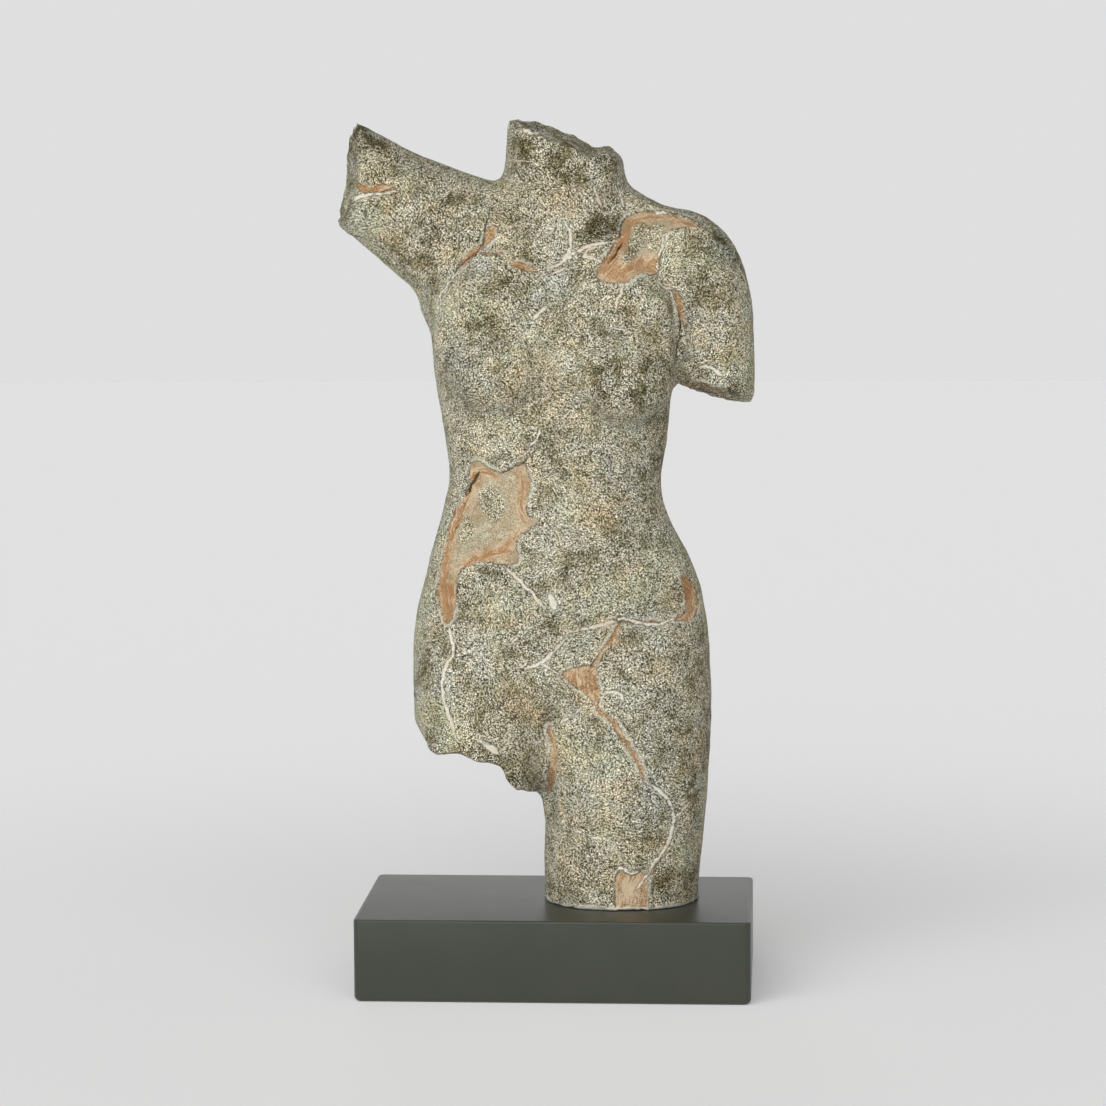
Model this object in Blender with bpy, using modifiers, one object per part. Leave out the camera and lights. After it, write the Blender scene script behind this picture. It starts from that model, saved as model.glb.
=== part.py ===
"""Female torso of cast stone on a painted block plinth, for Blender 4.5.

Metres, +Z up, the figure faces -Y. The origin is the centre of the plinth's underside.
The plinth has sizes of its own. The figure is a free form: its sections and carving are
drawn in units of a thousandth of a metre on a figure DRAWN_HEIGHT tall, and they all
follow FIGURE_HEIGHT. Drawn heights are measured up from the foot.
"""

import math

import bmesh
import bpy
import numpy as np
from mathutils import Matrix, Vector, noise
from mathutils.bvhtree import BVHTree

# Plinth: a cast block, soft at its upright corners and round along its lower edge.
PLINTH_WIDTH = 0.270
PLINTH_DEPTH = 0.160
PLINTH_HEIGHT = 0.057
PLINTH_CORNER_RADIUS = 0.005
PLINTH_TOP_RADIUS = 0.0015
PLINTH_FOOT_RADIUS = 0.004
PLINTH_CORNER_STEPS = 4
PLINTH_EDGE_STEPS = 3
PLINTH_COLOUR = (0.075, 0.078, 0.062, 1.0)
PLINTH_ROUGHNESS = 0.45

# Figure: its height over the plinth, and where the middle of its leg stands, measured
# from the middle of the plinth. DRAWN_LEG is that point of the drawing.
FIGURE_HEIGHT = 0.543
LEG_X = 0.0435
LEG_Y = 0.008
SEAT_GAP = 0.0003
DRAWN_HEIGHT = 543.0
DRAWN_LEG = (43.5, 8.0)
FIGURE_COLOUR = (0.32, 0.30, 0.22, 1.0)
FIGURE_ROUGHNESS = 0.85

# Fineness of the figure, in drawn units, and how many triangles its solid keeps.
VOXEL = 3.2
SOFTEN_STEPS = 26
FIGURE_TRIANGLES = 8400
SECTION_POINTS = 56
SECTION_POWER = 2.25
SPAN_STEPS = 6
STROKE_STEPS = 4
FORM_SEGMENTS = 32
SHARP_ANGLE = math.radians(40)

# Upright sections: (height, left, right, front, back, turn in degrees).
TRUNK = (
    (140, -84, 94, -38, 52, 2),
    (165, -100, 105, -49, 63, 2),
    (185, -100, 105, -54, 66, 3),
    (205, -97, 102, -57, 62, 3),
    (225, -91, 98, -58, 54, 4),
    (245, -86, 88, -58, 47, 5),
    (265, -80, 79, -56, 41, 6),
    (285, -75, 73, -53, 38, 7),
    (300, -73, 73, -51, 38, 8),
    (320, -76, 77, -51, 42, 8),
    (345, -80, 79, -52, 48, 8),
    (370, -84, 82, -52, 53, 8),
    (395, -87, 86, -50, 58, 7),
    (420, -92, 90, -45, 61, 6),
    (440, -90, 92, -38, 61, 5),
    (458, -84, 91, -30, 57, 4),
    (474, -72, 84, -22, 50, 3),
    (486, -54, 64, -14, 44, 2),
    (497, -38, 43, -6, 38, 0),
)
STANDING_LEG = (
    (-16, -10, 97, -44, 60, 0),
    (0, -10, 97, -44, 60, 0),
    (43, -10, 101, -46, 63, 0),
    (74, -9, 104, -49, 65, 0),
    (90, -18, 105, -50, 66, 0),
    (113, -30, 106, -52, 66, 0),
    (133, -34, 107, -53, 67, 0),
    (160, -26, 106, -51, 65, 0),
    (200, 10, 99, -42, 54, 0),
    (230, 32, 85, -26, 38, 0),
)
BROKEN_THIGH = (
    (58, -70, -16, -56, 38, 0),
    (80, -86, -8, -62, 45, 0),
    (104, -94, -4, -63, 52, 0),
    (124, -99, -3, -61, 58, 0),
    (142, -100, -2, -58, 62, 0),
    (165, -100, -8, -53, 62, 0),
    (200, -95, -18, -42, 50, 0),
    (230, -84, -30, -26, 36, 0),
)
NECK = (
    (455, -46, 55, -16, 52, 0),
    (474, -41, 50, -22, 51, 0),
    (490, -37, 49, -26, 48, 0),
    (510, -35, 47, -29, 45, 0),
    (530, -33, 46, -33, 42, 0),
    (560, -32, 46, -39, 38, 0),
)

# Limbs on a free path: (x, y, height, half thickness across, half thickness in depth).
RAISED_ARM = (
    (-36, 16, 438, 40, 38),
    (-60, 14, 453, 47, 40),
    (-86, 11, 468, 43, 37),
    (-115, 6, 486, 37, 33),
    (-144, 1, 505, 34, 30),
    (-178, -5, 527, 33, 29),
)
LOWERED_ARM = (
    (60, 14, 446, 36, 36),
    (84, 13, 436, 42, 39),
    (100, 11, 413, 36, 35),
    (108, 9, 390, 29, 31),
    (111, 8, 362, 26, 29),
    (112, 8, 325, 25, 28),
)

# Full forms that sit on those sections: (x, y, height, half width, half depth, half height).
FORMS = {
    "right breast": (-38, -40, 368, 34, 28, 31),
    "right breast slope": (-46, -27, 394, 38, 25, 50),
    "left breast": (49, -39, 363, 34, 27, 31),
    "left breast slope": (53, -25, 390, 38, 24, 50),
    "lower belly": (4, -18, 214, 70, 43, 70),
    "pubic mound": (-2, -26, 166, 44, 29, 38),
    "right buttock": (-47, 30, 170, 50, 44, 54),
    "left buttock": (49, 33, 176, 51, 44, 54),
    "right shoulder blade": (-54, 30, 415, 38, 25, 50),
    "left shoulder blade": (52, 30, 408, 38, 25, 50),
    "right armpit": (-74, 12, 420, 22, 30, 30),
    "right neck slope": (-46, 24, 474, 34, 24, 20),
}

# Carving: (name, side, line of (x, height), radius of the stroke, rise or cut).
FRONT, BACK = -1.0, 1.0
CARVING = (
    ("right collarbone", FRONT, ((2, 457), (-20, 461), (-44, 471), (-62, 484)), 6.0, 2.0),
    ("left collarbone", FRONT, ((24, 457), (48, 461), (74, 467), (98, 466)), 6.0, 2.0),
    ("right collarbone hollow", FRONT, ((-14, 472), (-30, 478)), 9.0, -2.6),
    ("left collarbone hollow", FRONT, ((34, 470), (54, 473)), 9.0, -3.4),
    ("notch over the breastbone", FRONT, ((13, 460), (13, 465)), 6.5, -2.8),
    ("right neck sinew", FRONT, ((6, 468), (-8, 490), (-20, 520)), 7.0, 1.5),
    ("left neck sinew", FRONT, ((20, 468), (32, 490), (40, 515)), 6.0, 1.8),
    ("hollow under the right collarbone", FRONT, ((-52, 458), (-68, 466)), 11.0, -2.4),
    ("hollow under the left collarbone", FRONT, ((66, 448), (78, 450)), 11.0, -2.0),
    ("breastbone", FRONT, ((11, 440), (9, 400), (8, 366)), 10.0, -2.0),
    ("between the breasts", FRONT, ((8, 378), (8, 350)), 10.0, -3.0),
    ("right breast fold", FRONT, ((-66, 356), (-48, 341), (-24, 340), (-6, 352)), 7.0, -1.6),
    ("left breast fold", FRONT, ((22, 346), (38, 334), (60, 332), (78, 348)), 7.0, -1.6),
    ("right nipple", FRONT, ((-60, 379), (-60, 380)), 4.0, 2.0),
    ("left nipple", FRONT, ((60, 361), (60, 362)), 3.8, 1.8),
    ("right rib arch", FRONT, ((2, 334), (-14, 322), (-36, 302), (-52, 286)), 12.0, -1.4),
    ("left rib arch", FRONT, ((22, 332), (36, 320), (52, 302), (62, 288)), 12.0, -1.4),
    ("midline of the belly", FRONT, ((12, 338), (22, 310), (28, 292)), 11.0, -1.4),
    ("navel", FRONT, ((28, 277), (28, 281)), 6.5, -3.4),
    ("right belly border", FRONT, ((-46, 270), (-52, 244), (-56, 226)), 12.0, -1.4),
    ("left belly border", FRONT, ((66, 272), (72, 248), (72, 226)), 12.0, -1.6),
    ("right hip bone", FRONT, ((-80, 240), (-68, 230)), 12.0, 1.4),
    ("left hip bone", FRONT, ((88, 244), (80, 232)), 12.0, 1.8),
    ("right groin", FRONT, ((-74, 208), (-54, 184), (-36, 164)), 11.0, -2.0),
    ("left groin", FRONT, ((82, 208), (60, 184), (38, 164)), 11.0, -2.2),
    ("right border of the mound", FRONT, ((-30, 154), (-16, 142), (0, 133)), 6.0, -2.4),
    ("left border of the mound", FRONT, ((30, 154), (16, 142), (0, 133)), 6.0, -2.4),
    ("front of the closed thighs", FRONT, ((0, 134), (-4, 110), (-9, 76)), 5.0, -3.4),
    ("front of the right armpit", FRONT, ((-62, 440), (-76, 416), (-84, 392)), 10.0, -2.0),
    ("crease of the lowered arm", FRONT, ((85, 352), (86, 376), (87, 396), (83, 416)), 5.0, -5.0),
    ("upper end of that crease", FRONT, ((83, 416), (76, 430)), 6.0, -2.4),
    ("left shoulder muscle", FRONT, ((94, 448), (100, 424), (106, 400)), 9.0, -1.2),
    ("furrow of the spine", BACK, ((8, 470), (10, 400), (14, 320), (12, 262)), 16.0, -4.6),
    ("lower back", BACK, ((10, 268), (6, 232)), 17.0, -3.0),
    ("right back muscle", BACK, ((-14, 300), (-16, 250)), 11.0, 2.0),
    ("left back muscle", BACK, ((40, 300), (38, 254)), 11.0, 2.0),
    ("cleft of the buttocks", BACK, ((3, 208), (1, 176), (0, 146)), 9.0, -10.0),
    ("right buttock fold", BACK, ((-70, 128), (-46, 120), (-22, 122)), 8.0, -4.0),
    ("left buttock fold", BACK, ((22, 126), (48, 124), (76, 132)), 8.0, -4.0),
    ("back of the closed thighs", BACK, ((-1, 126), (-4, 104), (-9, 76)), 7.0, -6.0),
    ("right dimple", BACK, ((-20, 222), (-20, 224)), 7.0, -2.2),
    ("left dimple", BACK, ((32, 228), (32, 230)), 7.0, -2.2),
    ("edge of the right blade", BACK, ((-22, 440), (-24, 404), (-34, 382)), 8.0, -2.2),
    ("edge of the left blade", BACK, ((34, 434), (36, 398), (46, 374)), 8.0, -2.2),
    ("back of the lowered arm", BACK, ((85, 352), (86, 376), (86, 404), (80, 424)), 6.0, -6.0),
    ("back of the right armpit", BACK, ((-80, 384), (-84, 410), (-82, 432)), 9.0, -2.6),
)

# Breaks: (outline across the limb, the depth at which it is met, the lean of the broken
# face from front to back, the cutter's two side walls). The outline runs in x against
# height, but for the raised arm in height against how far out the arm reaches.
BREAKS = {
    "neck": (
        ((-46, 541), (-30, 542), (-18, 539), (-7, 535), (1, 531), (10, 529), (17, 525),
         (24, 519), (29, 519), (31, 522), (35, 523), (39, 519), (45, 516), (60, 510)),
        34, 0.11, (-60, 70)),
    "raised arm": (
        ((440, 165), (472, 153), (482, 149), (494, 146), (506, 145), (520, 145),
         (532, 143), (539, 140), (560, 134)),
        22, 0.28, (436, 580)),
    "lowered arm": (
        ((60, 355), (82, 353), (92, 351), (102, 351), (107, 348), (116, 347),
         (125, 344), (134, 342), (150, 341)),
        28, -0.20, (84, 150)),
    "thigh": (
        ((-120, 122), (-97, 119), (-93, 112), (-87, 102), (-84, 97), (-78, 96),
         (-65, 98), (-58, 96), (-53, 92), (-40, 91), (-35, 88), (-33, 82),
         (-29, 75), (-24, 72), (-9, 71), (0, 69)),
        40, -0.13, (-125, -10)),
}
CUTTER_CELLS = 22
CUTTER_FRONT, CUTTER_BACK, CUTTER_LENGTH = -85.0, 95.0, 80.0
CHIP_DEPTH = 2.2
CHIP_SPACING = 11.0
CHIP_MEAN = 0.4
GRIT_SHARE = 0.5
GRIT_FINENESS = 2.3
WELD_DISTANCE = 0.0001


def unit():
    """Metres to one drawn unit."""
    return FIGURE_HEIGHT / DRAWN_HEIGHT


def placed(points):
    """Drawn points (x, y, height) as positions in the object's frame, in metres."""
    foot = np.array((LEG_X, LEG_Y, PLINTH_HEIGHT + SEAT_GAP))
    return foot + (np.asarray(points, float) - (*DRAWN_LEG, 0.0)) * unit()


def smooth_rows(rows, steps):
    """Rows filled in between by a Catmull-Rom curve through them, steps to a span."""
    rows = np.asarray(rows, float)
    ends = np.vstack([2 * rows[0] - rows[1], rows, 2 * rows[-1] - rows[-2]])
    filled = []
    for i in range(1, len(ends) - 2):
        before, start, stop, after = ends[i - 1:i + 3]
        for t in np.arange(steps) / steps:
            filled.append(0.5 * (2 * start + (stop - before) * t
                                 + (2 * before - 5 * start + 4 * stop - after) * t ** 2
                                 + (3 * start - before - 3 * stop + after) * t ** 3))
    filled.append(rows[-1])
    return np.array(filled)


def linked_collection(name):
    collection = bpy.data.collections.new(name)
    bpy.context.scene.collection.children.link(collection)
    return collection


def new_object(name, mesh, collection):
    made = bpy.data.objects.new(name, mesh)
    collection.objects.link(made)
    return made


def evaluated_mesh(obj):
    """The object's mesh with its modifiers applied."""
    bpy.context.view_layer.update()
    graph = bpy.context.evaluated_depsgraph_get()
    return bpy.data.meshes.new_from_object(obj.evaluated_get(graph))


def painted(name, colour, roughness):
    material = bpy.data.materials.new(name)
    material.use_nodes = True
    shader = material.node_tree.nodes["Principled BSDF"]
    shader.inputs["Base Color"].default_value = colour
    shader.inputs["Roughness"].default_value = roughness
    shader.inputs["Metallic"].default_value = 0.0
    return material


def add_tube(mesh, rings):
    """Adds a closed tube through the rings, with a fan cap at each end."""
    loops = [[mesh.verts.new(point) for point in ring] for ring in rings]
    count = len(loops[0])
    for low, high in zip(loops, loops[1:]):
        for i in range(count):
            j = (i + 1) % count
            mesh.faces.new((low[i], low[j], high[j], high[i]))
    for loop in (loops[0], loops[-1]):
        middle = mesh.verts.new(sum((v.co for v in loop), Vector()) / count)
        for i in range(count):
            mesh.faces.new((loop[i], loop[(i + 1) % count], middle))


def section_angles():
    return np.linspace(0, 2 * math.pi, SECTION_POINTS, endpoint=False)


def fitted(values, low, high):
    """The values scaled and moved so that they run from low to high."""
    return low + (values - values.min()) / np.ptp(values) * (high - low)


def upright_rings(rows):
    """Level sections of a body or leg, each a little squarer than an ellipse."""
    power = 2 / SECTION_POWER
    angles = section_angles()
    across = np.sign(np.cos(angles)) * np.abs(np.cos(angles)) ** power
    deep = np.sign(np.sin(angles)) * np.abs(np.sin(angles)) ** power
    for height, left, right, front, back, turn in smooth_rows(rows, SPAN_STEPS):
        x = across * (right - left)
        y = deep * (back - front)
        c, s = math.cos(math.radians(turn)), math.sin(math.radians(turn))
        ring = np.stack([fitted(x * c - y * s, left, right),
                         fitted(x * s + y * c, front, back),
                         np.full(SECTION_POINTS, height)], axis=1)
        yield placed(ring)


def limb_rings(rows):
    """Sections square to a limb's own path."""
    rows = smooth_rows(rows, SPAN_STEPS)
    path = rows[:, :3]
    ways = np.gradient(path, axis=0)
    angles = section_angles()
    for centre, way, (across, deep) in zip(path, ways, rows[:, 3:]):
        way = way / np.linalg.norm(way)
        depth_axis = np.array((0.0, 1.0, 0.0)) - way * way[1]
        depth_axis /= np.linalg.norm(depth_axis)
        width_axis = np.cross(depth_axis, way)
        ring = (centre + np.outer(np.cos(angles) * across, width_axis)
                + np.outer(np.sin(angles) * deep, depth_axis))
        yield placed(ring)


def add_form(mesh, x, y, height, half_width, half_depth, half_height):
    size = Matrix.Diagonal((half_width * unit(), half_depth * unit(), half_height * unit(), 1))
    place = Matrix.Translation(placed((x, y, height)))
    bmesh.ops.create_uvsphere(mesh, u_segments=FORM_SEGMENTS, v_segments=FORM_SEGMENTS // 2,
                              radius=1.0, matrix=place @ size)


def rough_figure(helpers):
    """All the sections and full forms as overlapping closed shells in one mesh."""
    mesh = bmesh.new()
    for rows in (TRUNK, STANDING_LEG, BROKEN_THIGH, NECK):
        add_tube(mesh, list(upright_rings(rows)))
    for rows in (RAISED_ARM, LOWERED_ARM):
        add_tube(mesh, list(limb_rings(rows)))
    for form in FORMS.values():
        add_form(mesh, *form)
    bmesh.ops.recalc_face_normals(mesh, faces=mesh.faces)
    data = bpy.data.meshes.new("rough figure")
    mesh.to_mesh(data)
    mesh.free()
    return new_object("rough figure", data, helpers)


def blended(figure):
    """The shells fused into one skin and softened where they meet."""
    fuse = figure.modifiers.new("fuse", "REMESH")
    fuse.mode = "VOXEL"
    fuse.voxel_size = VOXEL * unit()
    soften = figure.modifiers.new("soften", "SMOOTH")
    soften.factor = 0.5
    soften.iterations = SOFTEN_STEPS
    return evaluated_mesh(figure)


def line_distance(points, line):
    """Each point's distance to a line of points, all in metres."""
    nearest = np.full(len(points), np.inf)
    for start, stop in zip(line, line[1:]):
        along = stop - start
        share = np.clip((points - start) @ along / max(along @ along, 1e-12), 0, 1)
        gap = np.linalg.norm(points - start - share[:, None] * along, axis=1)
        nearest = np.minimum(nearest, gap)
    return nearest


def laid_on(tree, side, line):
    """A drawn line laid on the skin from the front or the back."""
    steps = smooth_rows([(x, 0.0, h) for x, h in line], STROKE_STEPS)
    far = side * FIGURE_HEIGHT
    laid = []
    for x, _, z in placed(steps):
        hit = tree.ray_cast(Vector((x, far, z)), Vector((0, -side, 0)))[0]
        if hit is not None:
            laid.append(np.array(hit))
    return laid


def carve(data):
    """Raises or cuts each stroke of the carving along the skin's own normals."""
    count = len(data.vertices)
    points = np.empty(count * 3)
    data.vertices.foreach_get("co", points)
    points = points.reshape(-1, 3)
    for _, side, line, radius, rise in CARVING:
        normals = np.empty(count * 3)
        data.vertices.foreach_get("normal", normals)
        mesh = bmesh.new()
        mesh.from_mesh(data)
        laid = laid_on(BVHTree.FromBMesh(mesh), side, line)
        mesh.free()
        if len(laid) < 2:
            continue
        share = np.exp(-(line_distance(points, laid) / (radius * unit())) ** 2)
        points += normals.reshape(-1, 3) * (share * rise * unit())[:, None]
        data.vertices.foreach_set("co", points.ravel())
        data.update()


def chip(point):
    """The height of a broken face's chips at a drawn point."""
    spot = Vector(point) / CHIP_SPACING
    facets = noise.voronoi(spot)[0][0] - CHIP_MEAN
    return CHIP_DEPTH * (facets + GRIT_SHARE * noise.noise(spot * GRIT_FINENESS))


def cutter_object(name, mesh, helpers):
    data = bpy.data.meshes.new(name)
    mesh.to_mesh(data)
    mesh.free()
    cutter = new_object(name, data, helpers)
    cutter.hide_render = True
    cutter.display_type = "WIRE"
    return cutter


def break_cutter(name, place, helpers):
    """A block whose cutting face follows a break.

    In the block's own frame x runs across, y from front to back and z out of the limb.
    place turns that frame into the drawing's.
    """
    outline, depth, lean, (low, high) = BREAKS[name]
    knots, rises = np.array(outline, float).T
    mesh = bmesh.new()
    bmesh.ops.create_cube(mesh, size=1.0)
    bmesh.ops.subdivide_edges(mesh, edges=mesh.edges, cuts=CUTTER_CELLS, use_grid_fill=True)
    for vert in mesh.verts:
        x = low + (vert.co.x + 0.5) * (high - low)
        y = CUTTER_FRONT + (vert.co.y + 0.5) * (CUTTER_BACK - CUTTER_FRONT)
        face = np.interp(x, knots, rises) + lean * (y - depth) + chip((x, y, 0.0))
        vert.co = Vector(placed(place(x, y, face + (vert.co.z + 0.5) * CUTTER_LENGTH)))
    bmesh.ops.recalc_face_normals(mesh, faces=mesh.faces)
    return cutter_object(name + " break", mesh, helpers)


def break_cutters(helpers):
    """Blocks that take off what is lost: the head, both arms and the right leg."""
    def up(x, y, z):
        return x, y, z

    def left(x, y, z):
        return -z, y, x

    def down(x, y, z):
        return x, y, z - CUTTER_LENGTH

    ways = {"neck": up, "raised arm": left, "lowered arm": down, "thigh": down}
    return [break_cutter(name, way, helpers) for name, way in ways.items()]


def foot_cutter(helpers):
    """A block that ends at the level where the leg sits on the plinth."""
    place = Matrix.Translation((LEG_X, LEG_Y, PLINTH_HEIGHT + SEAT_GAP - FIGURE_HEIGHT / 2))
    mesh = bmesh.new()
    bmesh.ops.create_cube(mesh, size=FIGURE_HEIGHT, matrix=place)
    return cutter_object("foot cut", mesh, helpers)


def weld(data):
    """Closes up the slivers that a cut leaves, and shades the skin round."""
    mesh = bmesh.new()
    mesh.from_mesh(data)
    bmesh.ops.triangulate(mesh, faces=mesh.faces)
    bmesh.ops.remove_doubles(mesh, verts=mesh.verts, dist=WELD_DISTANCE)
    bmesh.ops.dissolve_degenerate(mesh, edges=mesh.edges, dist=WELD_DISTANCE)
    bmesh.ops.triangulate(mesh, faces=mesh.faces)
    mesh.to_mesh(data)
    mesh.free()
    data.shade_smooth()
    data.set_sharp_from_angle(angle=SHARP_ANGLE)


def cut_by(figure, cutter):
    cut = figure.modifiers.new(cutter.name, "BOOLEAN")
    cut.operation = "DIFFERENCE"
    cut.solver = "EXACT"
    cut.object = cutter


def make_figure(parts, helpers):
    """The torso: fused sections, carved, broken off at four places and cut flat at its foot."""
    rough = rough_figure(helpers)
    skin = blended(rough)
    bpy.data.objects.remove(rough)
    carve(skin)
    figure = new_object("torso", skin, parts)
    for cutter in break_cutters(helpers):
        cut_by(figure, cutter)
    broken = evaluated_mesh(figure)
    weld(broken)
    figure.modifiers.clear()
    figure.data = broken
    broken.calc_loop_triangles()
    thin = figure.modifiers.new("fewer faces", "DECIMATE")
    thin.ratio = FIGURE_TRIANGLES / len(broken.loop_triangles)
    cut_by(figure, foot_cutter(helpers))
    return figure


def make_plinth(parts):
    """The block: a cube at size, its upright corners and then its two rims rounded."""
    mesh = bmesh.new()
    size = Matrix.Diagonal((PLINTH_WIDTH, PLINTH_DEPTH, PLINTH_HEIGHT, 1))
    place = Matrix.Translation((0, 0, PLINTH_HEIGHT / 2))
    bmesh.ops.create_cube(mesh, size=1.0, matrix=place @ size)
    upright = [e for e in mesh.edges if abs(e.verts[0].co.z - e.verts[1].co.z) > PLINTH_HEIGHT / 2]
    bmesh.ops.bevel(mesh, geom=upright, offset=PLINTH_CORNER_RADIUS, profile=0.5,
                    segments=PLINTH_CORNER_STEPS, affect="EDGES")
    rims = ((PLINTH_HEIGHT, PLINTH_TOP_RADIUS), (0.0, PLINTH_FOOT_RADIUS))
    for height, radius in rims:
        rim = [e for e in mesh.edges
               if all(abs(v.co.z - height) < PLINTH_HEIGHT / 100 for v in e.verts)
               and len({round(abs(f.normal.z)) for f in e.link_faces}) > 1]
        bmesh.ops.bevel(mesh, geom=rim, offset=radius, profile=0.5,
                        segments=PLINTH_EDGE_STEPS, affect="EDGES")
    bmesh.ops.recalc_face_normals(mesh, faces=mesh.faces)
    data = bpy.data.meshes.new("plinth")
    mesh.to_mesh(data)
    mesh.free()
    data.shade_smooth()
    data.set_sharp_from_angle(angle=SHARP_ANGLE)
    return new_object("plinth", data, parts)


def main():
    for obj in list(bpy.data.objects):
        bpy.data.objects.remove(obj)
    parts = linked_collection("female torso")
    helpers = linked_collection("cutters")
    plinth = make_plinth(parts)
    plinth.data.materials.append(painted("plinth paint", PLINTH_COLOUR, PLINTH_ROUGHNESS))
    figure = make_figure(parts, helpers)
    figure.data.materials.append(painted("cast stone", FIGURE_COLOUR, FIGURE_ROUGHNESS))


main()
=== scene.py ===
import math

import bpy
import numpy as np
from mathutils import Matrix, Vector, noise
from mathutils.bvhtree import BVHTree
from mathutils.kdtree import KDTree


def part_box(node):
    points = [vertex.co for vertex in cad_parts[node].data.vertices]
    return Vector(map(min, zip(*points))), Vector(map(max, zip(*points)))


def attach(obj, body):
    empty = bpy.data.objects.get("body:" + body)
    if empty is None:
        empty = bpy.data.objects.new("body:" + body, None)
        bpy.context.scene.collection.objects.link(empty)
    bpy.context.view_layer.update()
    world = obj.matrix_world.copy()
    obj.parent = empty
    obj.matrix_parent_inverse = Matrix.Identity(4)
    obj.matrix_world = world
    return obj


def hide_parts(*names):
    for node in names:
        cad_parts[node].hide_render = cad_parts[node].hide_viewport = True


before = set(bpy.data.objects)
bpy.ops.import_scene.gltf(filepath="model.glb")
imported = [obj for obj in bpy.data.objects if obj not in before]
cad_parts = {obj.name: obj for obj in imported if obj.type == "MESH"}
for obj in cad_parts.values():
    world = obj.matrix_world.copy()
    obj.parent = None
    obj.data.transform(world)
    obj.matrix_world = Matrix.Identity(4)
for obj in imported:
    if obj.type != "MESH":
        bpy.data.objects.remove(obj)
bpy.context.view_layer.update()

MM = 0.001

# The picture is taken with a long lens from a little to the statue's left and above its middle, looking
# slightly down. The veins and patches on the statue are placed by where they lie in that picture.
PICTURE_SIDE = 1106
CAMERA_PLACE = Vector((0.156, -2.48, 0.566))
CAMERA_TURN = math.radians(3.66)
CAMERA_TILT = math.radians(6.13)
CAMERA_ROLL = math.radians(-0.29)
CAMERA_LENS = 117.7
SENSOR_WIDTH = 36.0

focal_px = CAMERA_LENS / SENSOR_WIDTH * PICTURE_SIDE
ahead = Vector((-math.sin(CAMERA_TURN) * math.cos(CAMERA_TILT),
                math.cos(CAMERA_TURN) * math.cos(CAMERA_TILT), -math.sin(CAMERA_TILT)))
level_right = Vector((math.cos(CAMERA_TURN), math.sin(CAMERA_TURN), 0))
level_up = level_right.cross(ahead)
picture_right = level_right * math.cos(CAMERA_ROLL) + level_up * math.sin(CAMERA_ROLL)
picture_up = level_up * math.cos(CAMERA_ROLL) - level_right * math.sin(CAMERA_ROLL)

camera = bpy.data.objects.new("camera", bpy.data.cameras.new("camera"))
camera.data.lens = CAMERA_LENS
camera.data.sensor_width = SENSOR_WIDTH
camera.matrix_world = Matrix.Translation(CAMERA_PLACE) @ Matrix(
    (picture_right, picture_up, -ahead)).transposed().to_4x4()
bpy.context.scene.collection.objects.link(camera)
bpy.context.scene.camera = camera


def sight_line(px, py):
    """The direction in which the camera sees a pixel."""
    middle = PICTURE_SIDE / 2
    line = ahead + picture_right * ((px - middle) / focal_px) + picture_up * ((middle - py) / focal_px)
    return line.normalized()


def in_picture(points):
    """The pixels at which the camera sees an array of points."""
    away = points - np.array(CAMERA_PLACE)
    depth = away @ np.array(ahead)
    px = PICTURE_SIDE / 2 + focal_px * (away @ np.array(picture_right)) / depth
    py = PICTURE_SIDE / 2 - focal_px * (away @ np.array(picture_up)) / depth
    return px, py


# The figure is one casting in a sandy stone mix, tooled and washed to look like an old broken marble. Its
# skin is an even mesh over the solid's own form, smooth on the body and crisp along the rims of the breaks.
SKIN_CELL = 3.1 * MM
SKIN_SMOOTHING = 6
RIM_ANGLE = math.radians(38)
RIM_KEEP = 1.5 * MM
RIM_FADE = 4.0 * MM
RIM_SOFTENED = 0.08


def only(piece):
    """Leaves one object selected and active."""
    bpy.ops.object.select_all(action="DESELECT")
    piece.select_set(True)
    bpy.context.view_layer.objects.active = piece


def applied(piece, kind, **settings):
    """Gives a piece a modifier and applies it."""
    only(piece)
    modifier = piece.modifiers.new(kind.lower(), kind)
    for name, value in settings.items():
        setattr(modifier, name, value)
    bpy.ops.object.modifier_apply(modifier=modifier.name)


def places(mesh):
    """A mesh's points as an array."""
    flat = np.empty(len(mesh.vertices) * 3)
    mesh.vertices.foreach_get("co", flat)
    return flat.reshape(-1, 3)


def normals(mesh):
    """The direction out of the surface at each of a mesh's points, as an array."""
    flat = np.empty(len(mesh.vertices) * 3)
    mesh.vertex_normals.foreach_get("vector", flat)
    return flat.reshape(-1, 3)


def smoothly(low, high, value):
    """0 below low and 1 above high, with an even curve between them."""
    share = np.clip((value - low) / (high - low), 0, 1)
    return share * share * (3 - 2 * share)


def merged_copy(node, name):
    """A new piece with a CAD node's shape, its loose triangles joined."""
    piece = bpy.data.objects.new(name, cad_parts[node].data.copy())
    piece.data.materials.clear()
    bpy.context.scene.collection.objects.link(piece)
    only(piece)
    bpy.ops.object.mode_set(mode="EDIT")
    bpy.ops.mesh.select_all(action="SELECT")
    bpy.ops.mesh.remove_doubles(threshold=0.01 * MM)
    bpy.ops.object.mode_set(mode="OBJECT")
    return piece


def rim_tree(mesh):
    """A search tree of points along a mesh's sharp edges, which are the rims of its breaks."""
    sides = {}
    for face in mesh.polygons:
        for key in face.edge_keys:
            sides.setdefault(key, []).append(face.normal)
    points = []
    for (a, b), faces in sides.items():
        if len(faces) == 2 and faces[0].angle(faces[1], 0) > RIM_ANGLE:
            start, end = mesh.vertices[a].co, mesh.vertices[b].co
            steps = max(1, math.ceil((end - start).length / MM))
            points += [start.lerp(end, step / steps) for step in range(steps + 1)]
    tree = KDTree(len(points))
    for number, point in enumerate(points):
        tree.insert(point, number)
    tree.balance()
    return tree


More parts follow.
